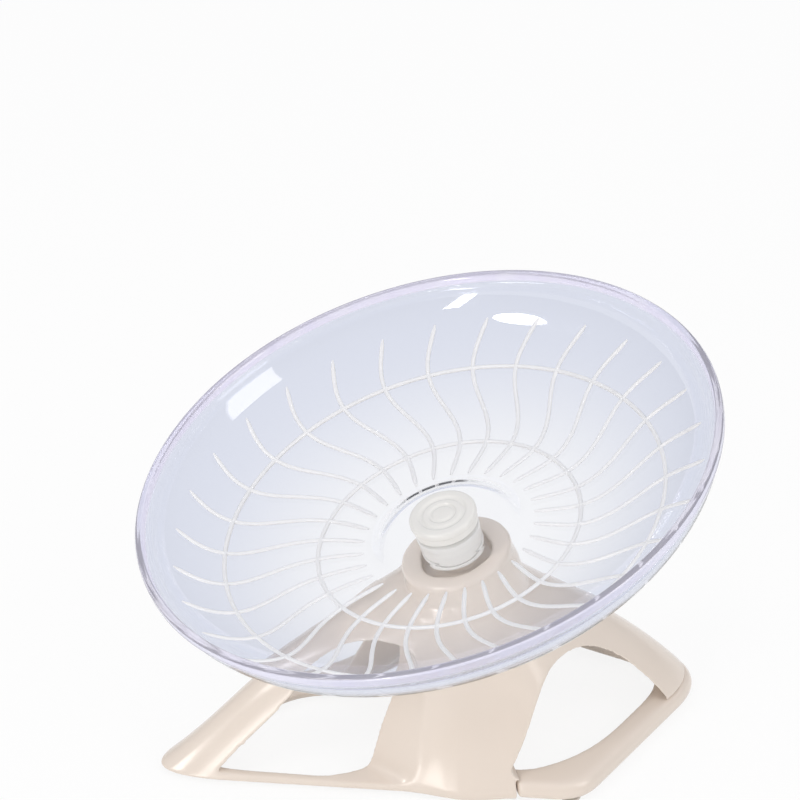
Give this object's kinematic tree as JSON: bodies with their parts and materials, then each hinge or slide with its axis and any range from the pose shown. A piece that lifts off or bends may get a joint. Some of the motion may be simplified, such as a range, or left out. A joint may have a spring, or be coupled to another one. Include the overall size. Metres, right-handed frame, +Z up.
{
  "type": "flying saucer exercise wheel",
  "caption": "Clear ribbed dish that spins freely on a ball bearing, set at a slant on an ivory stand with an open front leg, two side legs and a rear hoop.",
  "frame": {"origin": "centre of the bounding box in plan, on the plane the feet rest on", "axes": "+Z up, the dish leans down towards -Y, +X to the right of someone looking along +Y"},
  "size_m": [0.18, 0.174, 0.125],
  "materials": {
    "clear_plastic": "clear moulded polystyrene, polished",
    "white_plastic": "satin white moulding",
    "ivory_plastic": "satin ivory moulding",
    "zinc_steel": "bright zinc plate",
    "bearing_steel": "polished bearing steel",
    "nylon": "natural nylon",
    "rubber": "pale soft rubber"
  },
  "bodies": {
    "stand": {"stand_frame": "ivory_plastic", "rear_hoop": "ivory_plastic", "hoop_screw": "zinc_steel", "foot_front": "rubber", "foot_rear": "rubber", "foot_left": "rubber", "foot_right": "rubber", "axle_bolt": "zinc_steel", "axle_clip": "zinc_steel", "axle_washer": "zinc_steel", "axle_spacer": "nylon", "bearing_inner_race": "bearing_steel"},
    "dish": {"saucer": "clear_plastic", "hub_housing": "white_plastic", "hub_cap": "white_plastic", "hub_collar": "white_plastic", "bearing_retainer": "white_plastic", "bearing_outer_race": "bearing_steel"},
    "cage": {"bearing_cage": "nylon", "bearing_ball_1": "bearing_steel", "bearing_ball_2": "bearing_steel", "bearing_ball_3": "bearing_steel", "bearing_ball_4": "bearing_steel", "bearing_ball_5": "bearing_steel", "bearing_ball_6": "bearing_steel", "bearing_ball_7": "bearing_steel"}
  },
  "joints": [
    {"name": "dish_spin", "type": "hinge", "parent": "stand", "child": "dish", "pos_m": [0, -0.00049, 0.101], "axis": [0, -0.2681, 0.9634], "continuous": true},
    {"name": "cage_spin", "type": "hinge", "parent": "stand", "child": "cage", "pos_m": [0, -0.00049, 0.101], "axis": [0, -0.2681, 0.9634], "continuous": true}
  ],
  "couplings": [
    {"joint": "cage_spin", "follows": "dish_spin", "ratio": 0.6222}
  ]
}
